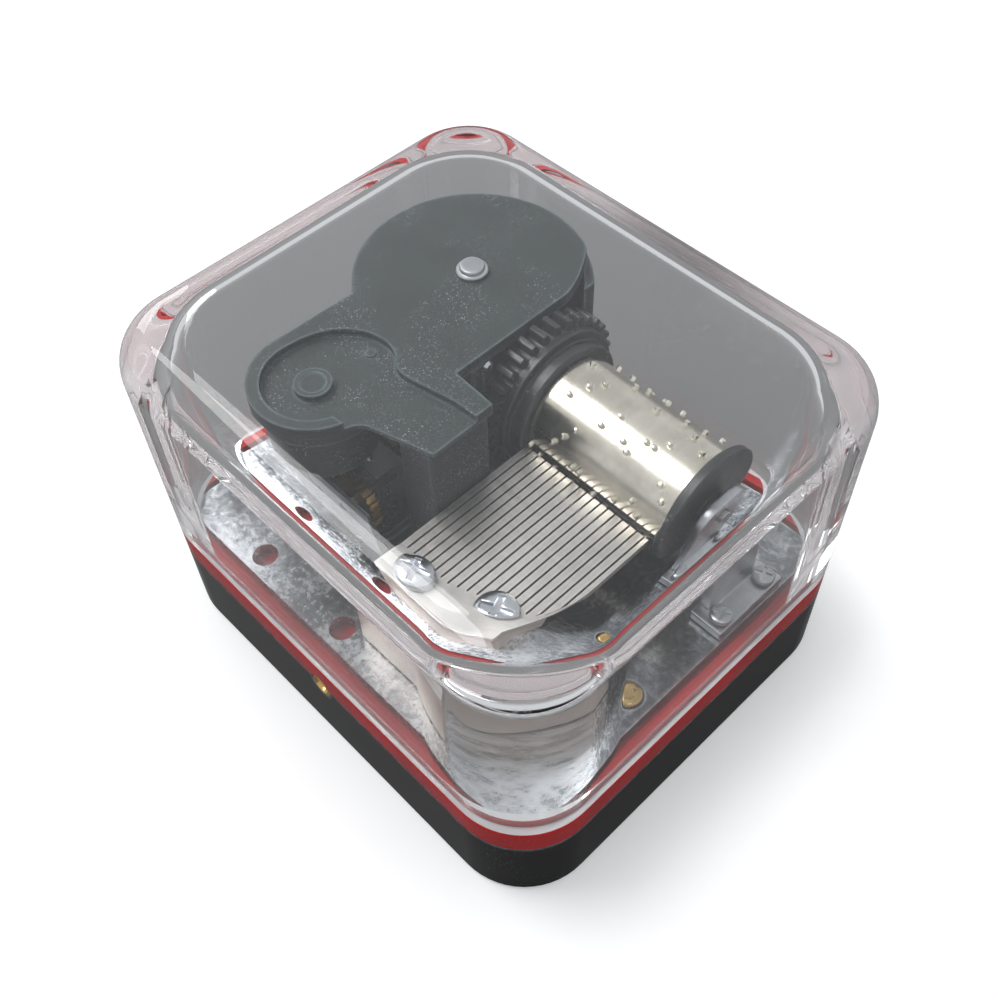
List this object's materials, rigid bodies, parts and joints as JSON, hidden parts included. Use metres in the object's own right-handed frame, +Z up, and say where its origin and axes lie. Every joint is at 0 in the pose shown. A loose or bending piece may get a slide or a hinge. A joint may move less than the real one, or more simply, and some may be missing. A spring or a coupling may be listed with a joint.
{
  "type": "cylinder music box",
  "caption": "Wind-up cylinder music box movement with a pinned cylinder, steel comb and governor, on a two-colour base under a clear lift-off cover.",
  "frame": {"origin": "centre of the underside, on the surface the box stands on", "axes": "+Z up; +X along the comb and the cylinder's axis, towards the cylinder's outer bearing; -Y towards the comb"},
  "size_m": [0.06, 0.0516, 0.0424],
  "materials": {
    "gloss_black": "polished black plastic",
    "gloss_red": "polished deep red plastic",
    "clear_plastic": "clear polished plastic",
    "black_plastic": "fine-grained matte moulding",
    "zinc": "satin zinc plate on a die casting",
    "steel": "ground steel",
    "spring_steel": "blued strip",
    "nickel": "warm nickel plate",
    "brass": "turned brass"
  },
  "bodies": {
    "base": {"base_skirt": "gloss_black", "base_deck": "gloss_red", "brass_bush": "brass", "case_screw_1": "steel", "case_screw_2": "steel", "case_screw_3": "steel", "case_screw_4": "steel", "deck_screw_1": "brass", "deck_screw_2": "brass", "deck_screw_3": "brass", "bedplate": "zinc", "movement_housing": "black_plastic", "housing_rivet": "zinc", "housing_screw_1": "steel", "housing_screw_2": "steel", "housing_screw_3": "steel", "click_pin": "steel", "bearing_bracket": "zinc", "bracket_screw_1": "steel", "bracket_screw_2": "steel", "comb": "steel", "comb_block": "zinc", "comb_screw_1": "zinc", "comb_screw_2": "zinc", "block_screw_1": "steel", "block_screw_2": "steel", "governor_frame": "black_plastic", "worm_bearing": "brass"},
    "cover": {"clear_cover": "clear_plastic"},
    "winding": {"winding_arbor": "steel", "arbor_cap": "zinc", "winding_key": "brass", "ratchet_wheel": "steel"},
    "click": {"click_pawl": "steel"},
    "barrel": {"barrel_drum": "zinc", "barrel_lid": "zinc", "mainspring": "spring_steel"},
    "cylinder": {"pinned_cylinder": "nickel", "cylinder_gear": "black_plastic", "cylinder_end_cap": "black_plastic", "cylinder_arbor": "steel"},
    "first_train": {"first_pinion": "brass", "first_wheel": "brass", "first_arbor": "steel"},
    "second_train": {"second_pinion": "brass", "worm_wheel": "brass", "second_arbor": "steel"},
    "worm": {"worm_shaft": "steel", "governor_fly": "black_plastic"}
  },
  "joints": [
    {"name": "cover_lift", "type": "slide", "parent": "base", "child": "cover", "axis": [0, 0, 1], "range_m": [0, 0.045]},
    {"name": "winding_turn", "type": "hinge", "parent": "base", "child": "winding", "pos_m": [-0.0132, 0.01, 0.005], "axis": [0, 0, 1], "continuous": true},
    {"name": "click_lift", "type": "hinge", "parent": "base", "child": "click", "pos_m": [-0.02004, 0.01395, 0.0302], "axis": [0, 0, -1], "range_deg": [0, 12], "stiffness_Nm_per_rad": 0.0005},
    {"name": "barrel_spin", "type": "hinge", "parent": "base", "child": "barrel", "pos_m": [-0.0132, 0.01, 0.018], "axis": [0, 0, 1], "continuous": true},
    {"name": "cylinder_spin", "type": "hinge", "parent": "base", "child": "cylinder", "pos_m": [0.01, 0.01, 0.0253], "axis": [1, 0, 0], "continuous": true},
    {"name": "first_wheel_spin", "type": "hinge", "parent": "base", "child": "first_train", "pos_m": [-0.0132, -0.004, 0.01885], "axis": [0, 1, 0], "continuous": true},
    {"name": "second_wheel_spin", "type": "hinge", "parent": "base", "child": "second_train", "pos_m": [-0.009, -0.0114, 0.01986], "axis": [0, 1, 0], "continuous": true},
    {"name": "worm_spin", "type": "hinge", "parent": "base", "child": "worm", "pos_m": [-0.0132, -0.0114, 0.022], "axis": [0, 0, 1], "continuous": true}
  ],
  "couplings": [
    {"joint": "barrel_spin", "follows": "second_wheel_spin", "ratio": 0.1},
    {"joint": "cylinder_spin", "follows": "second_wheel_spin", "ratio": 0.125},
    {"joint": "first_wheel_spin", "follows": "second_wheel_spin", "ratio": -0.5},
    {"joint": "worm_spin", "follows": "second_wheel_spin", "ratio": -24}
  ]
}
